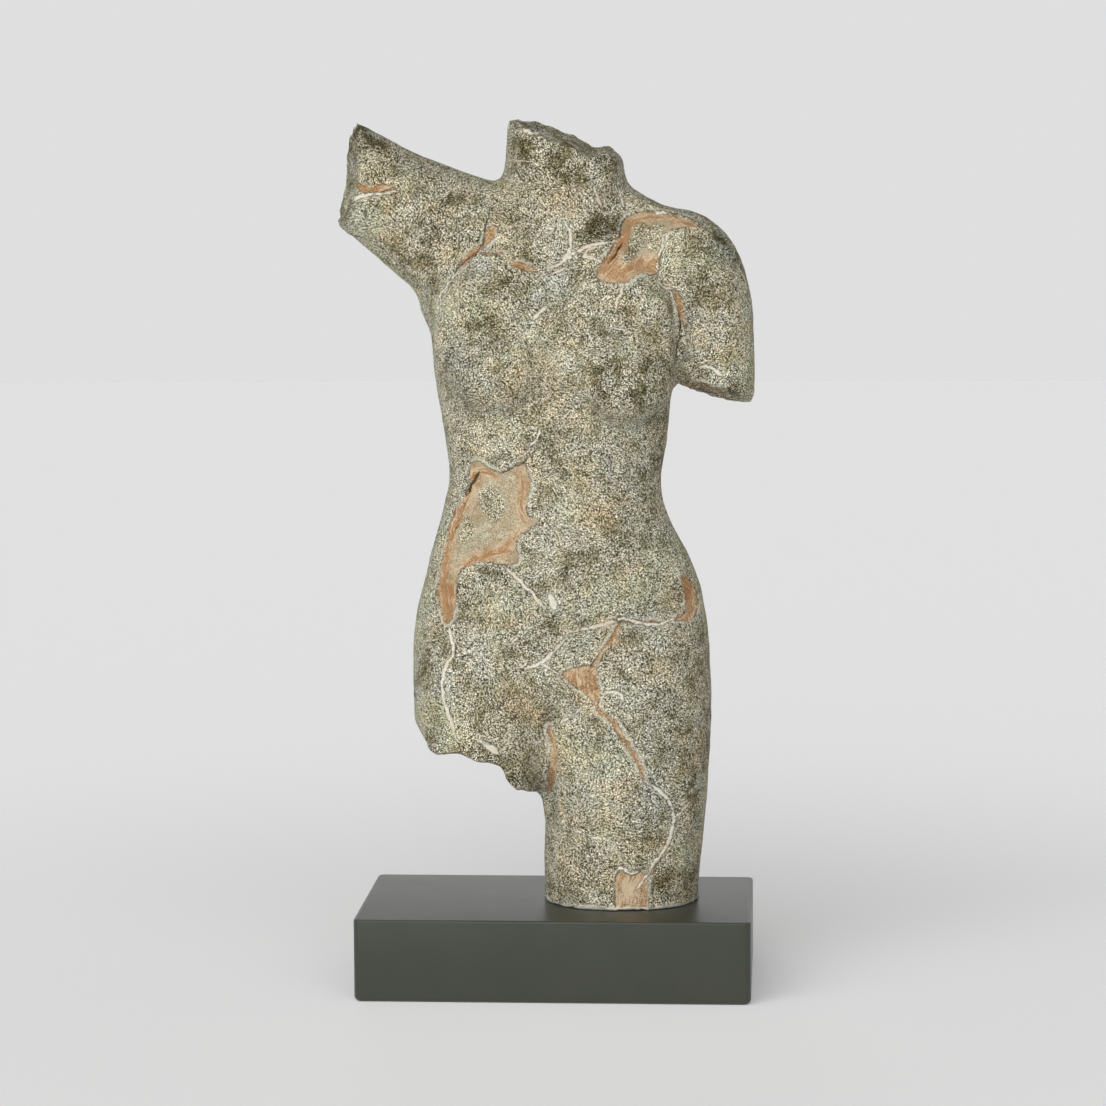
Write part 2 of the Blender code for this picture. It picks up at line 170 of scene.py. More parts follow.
skin = merged_copy("torso", "torso_skin")
rims = rim_tree(skin.data)
applied(skin, "REMESH", mode="VOXEL", voxel_size=SKIN_CELL)
body_part = skin.vertex_groups.new(name="body")
for vertex in skin.data.vertices:
    from_rim = (rims.find(vertex.co)[2] - RIM_KEEP) / RIM_FADE
    body_part.add([vertex.index], min(1, max(RIM_SOFTENED, from_rim)), "REPLACE")
applied(skin, "SMOOTH", factor=0.5, iterations=SKIN_SMOOTHING, vertex_group="body")

# The casting was made as if it had cracked and been mended: open cracks, thin veins of white lime plaster,
# and wider bands of terracotta clay. Each line gives its filling, its half width in mm and its points in
# the picture.
LINES = {
    "neck lip": ("lime", 1.3, [(515, 124), (524, 129), (535, 133), (548, 134)]),
    "collar crack": ("open", 0.45, [(491, 211), (487, 222), (484, 231), (481, 246), (458, 268),
                                    (447, 286)]),
    "collar clay": ("clay", 2.6, [(493, 227), (490, 234), (484, 244)]),
    "collar clay lower": ("clay", 2.4, [(482, 247), (472, 254), (460, 266)]),
    "collar vein": ("lime", 0.8, [(460, 268), (447, 286), (440, 297), (436, 306)]),
    "collar vein side": ("lime", 0.6, [(460, 274), (458, 290), (459, 317)]),
    "collar clay thread": ("clay", 0.7, [(480, 253), (490, 255), (503, 254)]),
    "breastbone clay": ("clay", 1.7, [(511, 262), (521, 265), (534, 270)]),
    "breastbone vein": ("lime", 0.9, [(534, 271), (555, 266), (566, 259), (578, 252), (593, 245),
                                      (617, 241)]),
    "breastbone vein low": ("lime", 0.6, [(540, 275), (558, 271), (572, 263), (582, 258), (588, 250),
                                          (596, 247)]),
    "breastbone vein up": ("lime", 0.8, [(563, 218), (569, 230), (571, 246), (562, 262)]),
    "breastbone vein down": ("lime", 0.7, [(578, 255), (590, 257), (601, 262)]),
    "breast fleck": ("lime", 1.0, [(533, 319), (540, 313), (548, 306)]),
    "neck vein": ("lime", 0.8, [(592, 181), (597, 196), (604, 210)]),
    "neck vein back": ("lime", 0.8, [(619, 188), (621, 199), (625, 210)]),
    "shoulder band top": ("clay", 2.4, [(629, 222), (648, 217), (669, 217), (681, 221), (698, 226)]),
    "shoulder band side": ("clay", 3.1, [(631, 224), (623, 240), (612, 256), (598, 274)]),
    "shoulder band crack": ("open", 0.6, [(623, 243), (616, 254), (609, 263)]),
    "shoulder vein": ("lime", 0.6, [(664, 232), (662, 248), (657, 264), (657, 276)]),
    "shoulder vein down": ("lime", 1.1, [(623, 284), (620, 296), (615, 308)]),
    "shoulder vein top": ("lime", 0.8, [(648, 205), (655, 211), (668, 214)]),
    "armpit clay": ("clay", 1.8, [(672, 290), (678, 298), (680, 312), (685, 326)]),
    "armpit vein": ("lime", 0.9, [(657, 277), (661, 286), (673, 290)]),
    "armpit crack": ("open", 0.7, [(679, 312), (681, 326), (680, 340), (677, 354), (672, 371)]),
    "arm vein": ("lime", 0.9, [(345, 212), (352, 202), (362, 196), (380, 194), (400, 191)]),
    "arm clay": ("clay", 2.2, [(357, 184), (366, 190), (378, 189), (393, 186)]),
    "rib crack": ("open", 0.35, [(545, 430), (539, 444), (526, 460), (501, 474)]),
    "rib vein": ("lime", 0.8, [(541, 428), (535, 441), (522, 457)]),
    "waist band side": ("clay", 3.0, [(479, 476), (468, 496), (458, 514), (450, 538), (445, 560),
                                      (443, 585), (447, 618)]),
    "waist band top": ("clay", 2.4, [(470, 484), (475, 474), (484, 472), (494, 478)]),
    "waist band foot": ("clay", 2.6, [(456, 571), (472, 560), (490, 554), (509, 546), (521, 528)]),
    "waist band right": ("clay", 2.0, [(521, 470), (523, 486), (520, 505), (526, 520)]),
    "waist fissure": ("open", 1.1, [(478, 472), (472, 482), (467, 494)]),
    "waist fissure low": ("open", 0.25, [(466, 500), (458, 520), (452, 538)]),
    "belly vein": ("lime", 1.0, [(504, 566), (518, 579), (531, 593), (547, 611)]),
    "belly flake": ("lime", 2.1, [(548, 600), (551, 597), (553, 602), (554, 609)]),
    "flank vein": ("lime", 1.1, [(449, 627), (453, 653), (444, 672), (443, 693), (450, 720), (456, 739)]),
    "groin line": ("lime", 0.3, [(501, 683), (518, 704), (535, 719)]),
    "inner thigh clay": ("clay", 3.0, [(549, 727), (554, 748), (553, 767), (549, 790)]),
    "groin vein": ("lime", 0.8, [(581, 709), (570, 717), (557, 725)]),
    "hip clay": ("clay", 2.8, [(683, 577), (693, 591), (695, 606), (688, 616), (675, 619)]),
    "hip vein": ("lime", 1.0, [(676, 619), (653, 625), (638, 622), (622, 619), (606, 624), (589, 628),
                               (569, 632)]),
    "hip vein lower": ("lime", 1.1, [(569, 632), (558, 647), (540, 663), (517, 671)]),
    "hip clay thread": ("clay", 1.2, [(660, 623), (640, 622), (620, 620)]),
    "hip branch": ("clay", 1.4, [(621, 620), (611, 640), (597, 660), (588, 671)]),
    "groin vein side": ("lime", 0.8, [(539, 664), (550, 668), (562, 677)]),
    "thigh clay": ("clay", 1.5, [(590, 692), (599, 712), (609, 717), (622, 737), (637, 761), (644, 780)]),
    "thigh loop": ("lime", 0.8, [(611, 714), (622, 702), (619, 693), (604, 692)]),
    "thigh vein": ("lime", 1.2, [(644, 781), (659, 790), (670, 803), (674, 820), (666, 846), (650, 870),
                                 (638, 889)]),
    "thigh clay foot": ("clay", 0.9, [(663, 850), (655, 865), (646, 878), (641, 898)]),
    "foot fringe": ("lime", 0.9, [(613, 873), (622, 868), (632, 873), (645, 868)]),
    "hip cap rim": ("lime", 1.1, [(697, 592), (699, 604), (696, 616)]),
    "thigh vein branch": ("lime", 0.8, [(674, 818), (681, 811), (689, 803)]),
    "thigh flake": ("lime", 2.0, [(479, 741), (487, 745), (497, 753)]),
    "arm break clay": ("clay", 2.2, [(686, 385), (700, 384), (714, 388), (729, 398)]),
    "arm break vein": ("lime", 1.2, [(699, 367), (709, 367), (722, 376)]),
}
# The bigger mends are patches with an outline of their own, given by its corners in the picture.
CLAY_PATCHES = {
    "collar wedge": [(487, 229), (497, 228), (494, 237), (483, 246)],
    "shoulder lobe": [(597, 274), (608, 262), (617, 259), (626, 264), (640, 258), (658, 257), (656, 272),
                      (641, 273), (629, 276), (622, 283)],
    "groin triangle": [(563, 672), (589, 666), (597, 675), (599, 702), (582, 691), (568, 681)],
    "foot mend": [(616, 877), (623, 871), (631, 876), (640, 871), (647, 880), (646, 910), (617, 909)],
    "waist corner": [(437, 586), (452, 584), (455, 604), (448, 623), (440, 603)],
    "hip cap": [(681, 575), (688, 580), (696, 595), (696, 610), (687, 612), (684, 594)],
}
PLASTER_PATCHES = {
    "waist patch": [(474, 461), (500, 473), (521, 463), (528, 474), (531, 489), (526, 512), (536, 523),
                    (518, 538), (517, 560), (504, 565), (480, 561), (462, 568), (455, 606), (448, 622),
                    (439, 600), (439, 575), (451, 532), (467, 498)],
    "shoulder patch": [(628, 217), (668, 213), (699, 224), (667, 232), (660, 258), (656, 273), (640, 273),
                       (623, 283), (596, 277), (614, 250)],
}
# In places the old skin stands through a patch.
ISLANDS = {
    "waist island": [(481, 490), (492, 486), (500, 496), (503, 512), (494, 524), (484, 514), (479, 502)],
    "waist island side": [(462, 520), (470, 516), (473, 530), (464, 545), (458, 540)],
    "shoulder island": [(634, 226), (645, 222), (650, 234), (642, 250), (630, 262), (622, 266), (626, 246)],
    "shoulder island right": [(652, 224), (664, 226), (662, 240), (655, 252), (648, 246)],
}
# Behind, where the picture doesn't reach, the same mends go on more sparingly. Their points are millimetres
# across from the statue's middle and up from the plinth.
BACK_LINES = {
    "shoulder blade crack": ("open", 0.8, [(62, 470), (48, 452), (40, 430), (22, 412), (16, 388)]),
    "shoulder blade vein": ("lime", 1.1, [(16, 388), (8, 366), (14, 344), (4, 322)]),
    "blade clay": ("clay", 2.4, [(-54, 474), (-60, 452), (-50, 434), (-36, 424)]),
    "blade vein": ("lime", 1.0, [(-36, 424), (-22, 414), (-6, 408), (16, 390)]),
    "loin clay": ("clay", 2.6, [(44, 286), (30, 268), (26, 250), (12, 238)]),
    "loin vein": ("lime", 1.1, [(12, 238), (-4, 226), (-12, 206), (-30, 190)]),
    "seat crack": ("open", 0.8, [(58, 214), (66, 190), (60, 168), (70, 146)]),
    "thigh clay behind": ("clay", 2.0, [(30, 128), (40, 106), (36, 84), (48, 62)]),
    "thigh vein behind": ("lime", 1.1, [(48, 62), (60, 44), (56, 22), (66, 4)]),
}
# The wash was rubbed on by hand. It is sooty at the breaks, chalky where it was wiped off, and here and there
# it turns ochre or slate grey. The soot dabs also carry painted shade, in the hollows over the collar bones,
# under the breasts, on the tops of the raised arm and shoulders and along the flanks; the chalk dabs also
# carry painted highlights on the breastbone, under the breasts, on the belly and where the lowered arm meets
# the chest. Each dab gives its place in the picture, its reach in mm and its strength.
DABS = {
    "soot": [
        (360, 128, 9, 1.6), (376, 142, 11, 1.2), (400, 158, 8, 0.7), (348, 150, 8, 0.5), (348, 214, 9, 1.2),
        (368, 208, 9, 0.6), (388, 248, 8, 0.6), (409, 259, 9, 0.8), (424, 172, 9, 0.7), (443, 203, 12, 0.9),
        (438, 234, 9, 0.5), (520, 138, 11, 1.1), (524, 160, 9, 0.6), (546, 140, 8, 0.5),
        (572, 150, 11, 0.7), (607, 157, 9, 1.2), (560, 180, 9, 0.4), (512, 214, 8, 0.7), (528, 221, 8, 0.7),
        (588, 236, 7, 2.2), (604, 231, 8, 2.6), (620, 227, 7, 1.6), (505, 286, 12, 0.5),
        (480, 318, 12, 0.8), (490, 342, 11, 0.5), (450, 354, 9, 1.0), (460, 382, 12, 1.0),
        (612, 366, 12, 1.1), (600, 392, 11, 1.1), (640, 388, 11, 0.7), (656, 366, 10, 0.9),
        (654, 396, 12, 0.7), (648, 420, 10, 0.7), (718, 236, 12, 1.4), (731, 254, 12, 1.3),
        (692, 246, 9, 0.5), (702, 286, 10, 0.7), (706, 391, 8, 1.2), (738, 394, 9, 1.2), (526, 435, 9, 0.4),
        (456, 460, 9, 0.5), (660, 534, 13, 0.8), (640, 556, 10, 0.5), (610, 562, 9, 0.5),
        (574, 568, 10, 0.4), (537, 586, 7, 0.4), (550, 626, 8, 0.4), (510, 632, 8, 0.4), (678, 598, 9, 0.5),
        (476, 720, 9, 0.3), (430, 742, 7, 0.8), (468, 751, 8, 0.6), (520, 776, 11, 0.6),
        (520, 690, 11, 0.4), (552, 716, 8, 0.6), (658, 702, 12, 0.5), (684, 664, 10, 0.6),
        (690, 692, 10, 0.7), (690, 800, 12, 0.6), (640, 826, 13, 0.6), (570, 866, 10, 0.3),
        (666, 884, 11, 0.9), (690, 872, 10, 0.8), (380, 172, 26, 0.3), (425, 224, 20, 0.3),
        (482, 306, 24, 0.35), (428, 676, 15, 0.5), (438, 722, 13, 0.5), (716, 250, 16, 0.3),
        (540, 170, 18, 0.35), (688, 588, 8, 1.3), (630, 330, 16, 0.3), (446, 592, 13, 0.8),
        (496, 554, 13, 0.9), (672, 217, 13, 0.4), (617, 246, 9, 0.4), (375, 187, 10, 0.5),
        (523, 266, 7, 0.8), (701, 660, 13, 0.5), (704, 722, 14, 0.5), (700, 775, 13, 0.4),
        (661, 430, 11, 0.5), (657, 462, 11, 0.4)],
    "chalk": [
        (631, 892, 11, 1.7), (576, 667, 7, 0.7), (607, 648, 9, 0.6), (520, 703, 7, 0.4), (534, 716, 7, 0.4),
        (410, 200, 10, 0.6), (413, 240, 8, 0.5), (564, 224, 7, 1.3), (561, 245, 8, 1.2),
        (510, 242, 11, 0.5), (462, 284, 11, 0.4), (440, 312, 9, 0.4), (538, 340, 11, 0.6),
        (556, 362, 11, 1.8), (566, 366, 8, 0.8), (556, 400, 10, 0.8), (572, 420, 9, 0.8),
        (588, 426, 8, 0.4), (697, 332, 10, 0.8), (722, 336, 9, 0.5), (688, 345, 8, 1.1), (684, 368, 8, 2.2),
        (492, 430, 13, 0.5), (556, 540, 13, 0.9), (584, 530, 10, 0.7), (548, 602, 7, 0.6),
        (552, 752, 8, 0.9), (482, 650, 14, 0.6), (450, 672, 11, 0.3), (612, 668, 10, 0.7),
        (608, 690, 9, 0.4), (604, 778, 10, 0.4), (605, 797, 7, 0.6), (604, 850, 12, 0.4),
        (626, 852, 9, 0.4), (620, 286, 8, 0.3), (568, 500, 11, 0.3)],
    "ochre": [
        (372, 186, 13, 0.9), (392, 236, 10, 0.8), (408, 258, 9, 0.6), (384, 160, 9, 0.6),
        (545, 190, 13, 0.5), (576, 196, 10, 0.5), (504, 196, 11, 0.4), (512, 262, 13, 0.6),
        (545, 370, 13, 0.7), (552, 404, 11, 0.6), (518, 386, 11, 0.5), (586, 512, 12, 0.7),
        (604, 518, 10, 0.8), (590, 490, 9, 0.5), (556, 752, 11, 0.9), (520, 716, 13, 0.5),
        (566, 860, 12, 0.7), (616, 640, 11, 0.7), (628, 850, 10, 0.6), (668, 884, 9, 0.7),
        (726, 356, 9, 0.5), (697, 386, 9, 0.8), (684, 596, 10, 0.8), (660, 240, 10, 0.4),
        (692, 230, 9, 0.5), (645, 205, 10, 0.6), (460, 430, 11, 0.4), (490, 620, 9, 0.4),
        (694, 690, 9, 0.4), (508, 692, 6, 0.9), (522, 706, 6, 0.9), (536, 718, 6, 0.9)],
    "slate": [
        (350, 212, 9, 0.8), (722, 244, 14, 0.9), (450, 356, 11, 0.8), (474, 376, 11, 0.5),
        (552, 276, 13, 0.8), (540, 300, 10, 0.6), (630, 290, 10, 0.8), (478, 268, 9, 0.6),
        (556, 540, 14, 0.7), (512, 588, 10, 0.5), (548, 604, 9, 0.8), (566, 636, 12, 0.7),
        (478, 655, 15, 0.7), (448, 684, 12, 0.6), (640, 606, 10, 0.6), (664, 644, 14, 0.8),
        (656, 704, 13, 0.8), (640, 752, 13, 0.5), (650, 794, 14, 0.9), (604, 748, 9, 0.5),
        (700, 790, 9, 0.6), (625, 480, 12, 0.5), (608, 452, 10, 0.5), (705, 366, 9, 0.5),
        (610, 366, 10, 0.4), (450, 726, 9, 0.4)],
}
LINE_STEP = 0.9
BACK_LINE_STEP = 0.8
WANDER = 1.3
WANDER_LENGTH = 7.0
END_WIDTH = 0.35
WIDTH_VARIES = 0.45
PIXEL_MM = 0.69
FIGURE_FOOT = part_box("torso")[0].z


def threaded(points, step, closed=False):
    """Points about a step apart on a smooth curve through a line's own points."""
    ring = [Vector(p) for p in points]
    ends = (ring[-1], ring[0], ring[1]) if closed else (2 * ring[0] - ring[1], None, 2 * ring[-1] - ring[-2])
    row = [ends[0], *ring] + ([ends[1]] if closed else []) + [ends[2]]
    curve = []
    for a, b, c, d in zip(row, row[1:], row[2:], row[3:]):
        count = max(1, round((c - b).length / step))
        for k in range(count):
            t = k / count
            curve.append(0.5 * (2 * b + (c - a) * t + (2 * a - 5 * b + 4 * c - d) * t * t
                                + (3 * b - 3 * c + d - a) * t ** 3))
    if not closed:
        curve.append(ring[-1])
    return curve


def wandering(curve, seed, amount):
    """A curve whose points stray a little to each side, as a real crack does."""
    strayed = []
    for number, point in enumerate(curve):
        way = number / WANDER_LENGTH
        stray = Vector((noise.noise(Vector((way, seed, 0.3))), noise.noise(Vector((way, seed, 7.7)))))
        finer = Vector((noise.noise(Vector((way * 3, seed, 2.3))), noise.noise(Vector((way * 3, seed, 9.7)))))
        strayed.append(point + (stray + 0.5 * finer) * amount)
    return strayed


ground = BVHTree.FromPolygons([v.co.copy() for v in skin.data.vertices],
                              [tuple(p.vertices) for p in skin.data.polygons])


def on_skin_seen(point):
    """Where the camera's line through a pixel first meets the skin, or None."""
    return ground.ray_cast(CAMERA_PLACE, sight_line(point.x, point.y))[0]


def on_skin_behind(point):
    """The skin's point behind the figure, at a width and a height in millimetres."""
    start = Vector((point.x * MM, 1.0, FIGURE_FOOT + point.y * MM))
    return ground.ray_cast(start, Vector((0, -1, 0)))[0]


def laid_lines(lines, step, amount, lay, first_seed):
    """Every line's points on the skin, as rows of filling, place and half width in metres."""
    rows = []
    for number, (filling, half_width, points) in enumerate(lines.values()):
        seed = first_seed + number * 3.1
        curve = wandering(threaded(points, step), seed, amount)
        for k, point in enumerate(curve):
            place = lay(point)
            if place is not None:
                taper = min(1, END_WIDTH + 3 * min(k, len(curve) - 1 - k) / len(curve))
                swell = 1 + WIDTH_VARIES * noise.noise(Vector((k * 0.21, seed, 4.4)))
                rows.append((filling, place, half_width * MM * taper * swell))
    return rows


line_rows = laid_lines(LINES, LINE_STEP, WANDER, on_skin_seen, first_seed=1.0)
line_rows += laid_lines(BACK_LINES, BACK_LINE_STEP, WANDER, on_skin_behind, first_seed=400.0)
line_trees = {}
for filling in ("open", "lime", "clay"):
    members = [(place, half) for kind, place, half in line_rows if kind == filling]
    tree = KDTree(len(members))
    for number, (place, half) in enumerate(members):
        tree.insert(place, number)
    tree.balance()
    path = np.array([place for place, half in members])
    line_trees[filling] = (tree, [half for place, half in members], path)

# Along the cracks and patches the skin's mesh is made finer, once in a wide margin and once more on the lines
# themselves, so that the edges of the mends are real steps in the surface.
MARGINS = (3.0 * MM, 1.0 * MM)
FAR = 6.0 * MM
PATCH_STEP = 3.0
PATCH_WANDER = 1.6
CLAY_SEED = 50.0
PLASTER_SEED = 90.0
ISLAND_SEED = 130.0


def line_depth(points, filling):
    """How far inside the nearest line of a filling each point is, in metres, and below 0 outside."""
    tree, halves, _ = line_trees[filling]
    depth = np.full(len(points), -FAR)
    for number, point in enumerate(points):
        place, found, distance = tree.find(point)
        if distance - halves[found] < FAR:
            depth[number] = halves[found] - distance
    return depth


def line_grid(points, out, filling):
    """How far along and across the nearest line of a filling each point lies, in metres."""
    tree, _, path = line_trees[filling]
    found = np.array([tree.find(point)[1] for point in points])
    travelled = np.concatenate([[0], np.cumsum(np.linalg.norm(np.diff(path, axis=0), axis=1))])
    way = path[np.minimum(found + 1, len(path) - 1)] - path[np.maximum(found - 1, 0)]
    way /= np.linalg.norm(way, axis=1)[:, None]
    offset = points - path[found]
    return travelled[found] + (offset * way).sum(axis=1), (offset * np.cross(out, way)).sum(axis=1)


def patch_depth(points, out, outline, seed):
    """How far inside a patch's outline the camera sees each point, in metres, and below 0 outside."""
    edge = wandering(threaded(outline, PATCH_STEP, closed=True), seed, PATCH_WANDER)
    ring = np.array([tuple(point) for point in edge])
    px, py = in_picture(points)
    towards = ((points - np.array(CAMERA_PLACE)) * out).sum(axis=1) < 0
    low, high = ring.min(axis=0) - FAR / MM, ring.max(axis=0) + FAR / MM
    near = np.nonzero(towards & (px > low[0]) & (px < high[0]) & (py > low[1]) & (py < high[1]))[0]
    x, y = px[near, None], py[near, None]
    ax, ay = ring[:, 0], ring[:, 1]
    bx, by = np.roll(ax, -1), np.roll(ay, -1)
    share = np.clip(((x - ax) * (bx - ax) + (y - ay) * (by - ay)) / ((bx - ax) ** 2 + (by - ay) ** 2), 0, 1)
    gap = np.hypot(ax + share * (bx - ax) - x, ay + share * (by - ay) - y).min(axis=1)
    crossed = ((ay > y) != (by > y)) & (x < (bx - ax) * (y - ay) / (by - ay + 1e-12) + ax)
    inside = crossed.sum(axis=1) % 2 == 1
    depth = np.full(len(points), -FAR)
    depth[near] = np.clip(np.where(inside, gap, -gap) * PIXEL_MM * MM, -FAR, FAR)
    return depth


def all_patches(points, out, patches, first_seed):
    """How far inside the nearest of several patches each point is."""
    depths = [patch_depth(points, out, outline, first_seed + 5.3 * number)
              for number, outline in enumerate(patches.values())]
    return np.max(depths, axis=0)


def edge_nearness(points, out):
    """How far each point is from the nearest line or patch edge, in metres."""
    lines = np.max([line_depth(points, filling) for filling in line_trees], axis=0)
    patches = np.minimum(abs(all_patches(points, out, CLAY_PATCHES, CLAY_SEED)),
                         abs(all_patches(points, out, PLASTER_PATCHES, PLASTER_SEED)))
    return np.minimum(np.maximum(-lines, 0), patches)


for margin in MARGINS:
    gap = edge_nearness(places(skin.data), normals(skin.data))
    close = [any(gap[v] < margin for v in face.vertices) for face in skin.data.polygons]
    only(skin)
    bpy.ops.object.mode_set(mode="EDIT")
    bpy.ops.mesh.select_mode(type="FACE")
    bpy.ops.mesh.select_all(action="DESELECT")
    bpy.ops.object.mode_set(mode="OBJECT")
    skin.data.polygons.foreach_set("select", close)
    bpy.ops.object.mode_set(mode="EDIT")
    bpy.ops.mesh.subdivide(number_cuts=1, ngon=False)
    bpy.ops.mesh.select_all(action="DESELECT")
    bpy.ops.object.mode_set(mode="OBJECT")
applied(skin, "TRIANGULATE")

# The surface itself: soft lumps left by the tooling, small pits, rough faces where the neck, arms and thigh
# are broken off, mends that sit a little below the skin, and a ragged collar of plaster round the foot.
LUMP_HEIGHT = 0.35 * MM
LUMP_SIZE = 17 * MM
DENT_HEIGHT = 0.26 * MM
DENT_SIZE = 5.5 * MM
BREAK_HEIGHT = 1.2 * MM
BREAK_SIZE = 7 * MM
CLAY_DROP = 1.1 * MM
PATCH_DROP = 1.2 * MM
FILL_HEIGHT = 0.40 * MM
FILL_SIZE = 4.5 * MM
STREAK_HEIGHT = 0.35 * MM
STREAK_LENGTH = 10 * MM
STREAK_WIDTH = 1.6 * MM
RAGGED = 0.7 * MM
RAGGED_SIZE = 2.8 * MM
LIP_HEIGHT = 0.50 * MM
VEIN_RISE = 0.55 * MM
CRACK_DROP = 2.2 * MM
MEND_EDGE = 1.0 * MM
FILL_EDGE = 1.2 * MM
LIP_AWAY = 0.9 * MM
LIP_WIDTH = 0.8 * MM
COLLAR_TOP = 4.4 * MM
COLLAR_REACH = 1.4 * MM
COLLAR_RAGGED = 2.5 * MM
COLLAR_RAGGED_SIZE = 9 * MM
# Where the lowered arm meets the chest it stands proud, and the hollows over the collar bones are deep. Each
# gives its place in the picture, its reach and how far it comes forward, both in mm.
SWELLS = {
    "arm inside": (688, 350, 11, 6.5),
    "arm inside low": (683, 368, 9, 12),
    "arm inside corner": (682, 379, 7, 7),
    "hollow left": (514, 218, 9, -1.8),
    "hollow right": (592, 234, 8, -2.6),
    "hollow right end": (614, 229, 8, -2.2),
}
BREAKS = {
    "neck": ((-0.034, 0.040), (0.500, 0.56), (0, 0, 1)),
    "raised arm": ((-0.160, -0.124), (0.46, 0.56), (-1, 0, 0)),
    "lowered arm": ((0.093, 0.145), (0.340, 0.384), (0, 0, -1)),
    "thigh": ((-0.095, 0.000), (0.070, 0.126), (-0.2, 0, -1)),
}


def grain(points, size, seed, octaves=3):
    """Soft noise from about -1 to 1 at each point, with lumps of a size in metres."""
    shift = Vector((seed, seed * 1.7, -seed))
    return np.array([noise.fractal(Vector(p) / size + shift, 0.9, 2.1, octaves) for p in points])


spots = places(skin.data)
outward = normals(skin.data)
clay = np.maximum(line_depth(spots, "clay"), all_patches(spots, outward, CLAY_PATCHES, CLAY_SEED))
lime = line_depth(spots, "lime")
crack = line_depth(spots, "open")
plaster = all_patches(spots, outward, PLASTER_PATCHES, PLASTER_SEED)
frayed = RAGGED * grain(spots, RAGGED_SIZE, 71.0)
clay, plaster, lime = clay + frayed, plaster + frayed, lime + 0.6 * frayed
along, across = line_grid(spots, outward, "clay")
island = all_patches(spots, outward, ISLANDS, ISLAND_SEED)
height = spots[:, 2] - FIGURE_FOOT
broken = np.zeros(len(spots))
for (left, right), (low, high), facing in BREAKS.values():
    there = (spots[:, 0] > left) & (spots[:, 0] < right) & (height > low) & (height < high)
    faces = outward @ np.array(Vector(facing).normalized())
    broken = np.maximum(broken, there * smoothly(0.45, 0.75, faces))
collar = smoothly(COLLAR_TOP, 0, height + grain(spots, COLLAR_RAGGED_SIZE, 3.0) * COLLAR_RAGGED)

lift = LUMP_HEIGHT * grain(spots, LUMP_SIZE, 11.0) + DENT_HEIGHT * grain(spots, DENT_SIZE, 23.0)
lift += broken * BREAK_HEIGHT * grain(spots, BREAK_SIZE, 37.0, 4)
mend = np.maximum(clay, plaster)
uneven = grain(spots, FILL_SIZE, 53.0, 4)
flush = 0.7 + 0.5 * grain(spots, LUMP_SIZE, 89.0)
pulled = grain(np.stack([along / STREAK_LENGTH, across / STREAK_WIDTH, 0 * along], axis=1), 1.0, 97.0)
lift -= flush * np.maximum(CLAY_DROP * smoothly(0, MEND_EDGE, clay),
                           PATCH_DROP * smoothly(0, MEND_EDGE, plaster))
lift += FILL_HEIGHT * uneven * smoothly(0, FILL_EDGE, mend)
lift += STREAK_HEIGHT * pulled * smoothly(-MEND_EDGE, MEND_EDGE, clay)
lift += LIP_HEIGHT * (flush + uneven) * np.exp(-((mend + LIP_AWAY) / LIP_WIDTH) ** 2)
lift += VEIN_RISE * (1 + 0.6 * uneven) * smoothly(-0.4 * MM, 0.6 * MM, lime)
lift -= CRACK_DROP * smoothly(-0.7 * MM, 0.5 * MM, crack)
lift += COLLAR_REACH * collar


def dabbed(points, dabs):
    """The strength of listed dabs at each point, fading out over each dab's reach."""
    strength = np.zeros(len(points))
    for px, py, reach, amount in dabs:
        middle = on_skin_seen(Vector((px, py)))
        if middle is not None:
            away = ((points - np.array(middle)) ** 2).sum(axis=1)
            strength += amount * np.exp(-away / (reach * MM) ** 2)
    return strength


swell = dabbed(spots, SWELLS.values()) * MM
moved = spots + outward * lift[:, None] - np.array(ahead) * swell[:, None]
moved[:, 2] = np.maximum(moved[:, 2], FIGURE_FOOT)
moved = np.clip(moved, np.array(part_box("torso")[0]), np.array(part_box("torso")[1]))
skin.data.vertices.foreach_set("co", moved.ravel())
skin.data.update()
only(skin)
bpy.ops.object.shade_smooth()


def marked(piece, **marks):
    """Stores numbers on a piece's points under their names, for its material."""
    for name, values in marks.items():
        attribute = piece.data.attributes.new(name, "FLOAT", "POINT")
        attribute.data.foreach_set("value", np.asarray(values, dtype=np.float32))


marked(skin, clay=clay / MM, lime=lime / MM, crack=crack / MM, plaster=plaster / MM, island=island / MM,
       along=along / MM, across=across / MM, broken=broken, collar=collar,
       **{name: dabbed(spots, dabs) for name, dabs in DABS.items()})


# The finish is an olive-grey wash over pale stone. It has broken up into fine flakes, cream where they stand
# and nearly black between them, over wider stains of tan, grey-green and soot, with the dabs' painted shade
# and painted highlights laid over them. The mends are smoother.
class Wire:
    """A number that changes over a surface. Sums on it add Math nodes."""

    def __init__(self, finish, socket):
        self.finish = finish
        self.socket = socket

    def sum(self, operation, *others, clamp=False):
        sockets = {number: other for number, other in enumerate((self, *others))}
        return self.finish.add("ShaderNodeMath", {"operation": operation, "use_clamp": clamp}, sockets)

    def __add__(self, other):
        return self.sum("ADD", other)

    __radd__ = __add__

    def __sub__(self, other):
        return self.sum("SUBTRACT", other)

    def __rsub__(self, other):
        return (self * -1) + other

    def __mul__(self, other):
        return self.sum("MULTIPLY", other)

    __rmul__ = __mul__

    def over(self, low, high):
        """0 at low and 1 at high, evenly curved between them."""
        share = {"Value": self, "From Min": low, "From Max": high}
        return self.finish.add("ShaderNodeMapRange", {"interpolation_type": "SMOOTHSTEP"}, share)


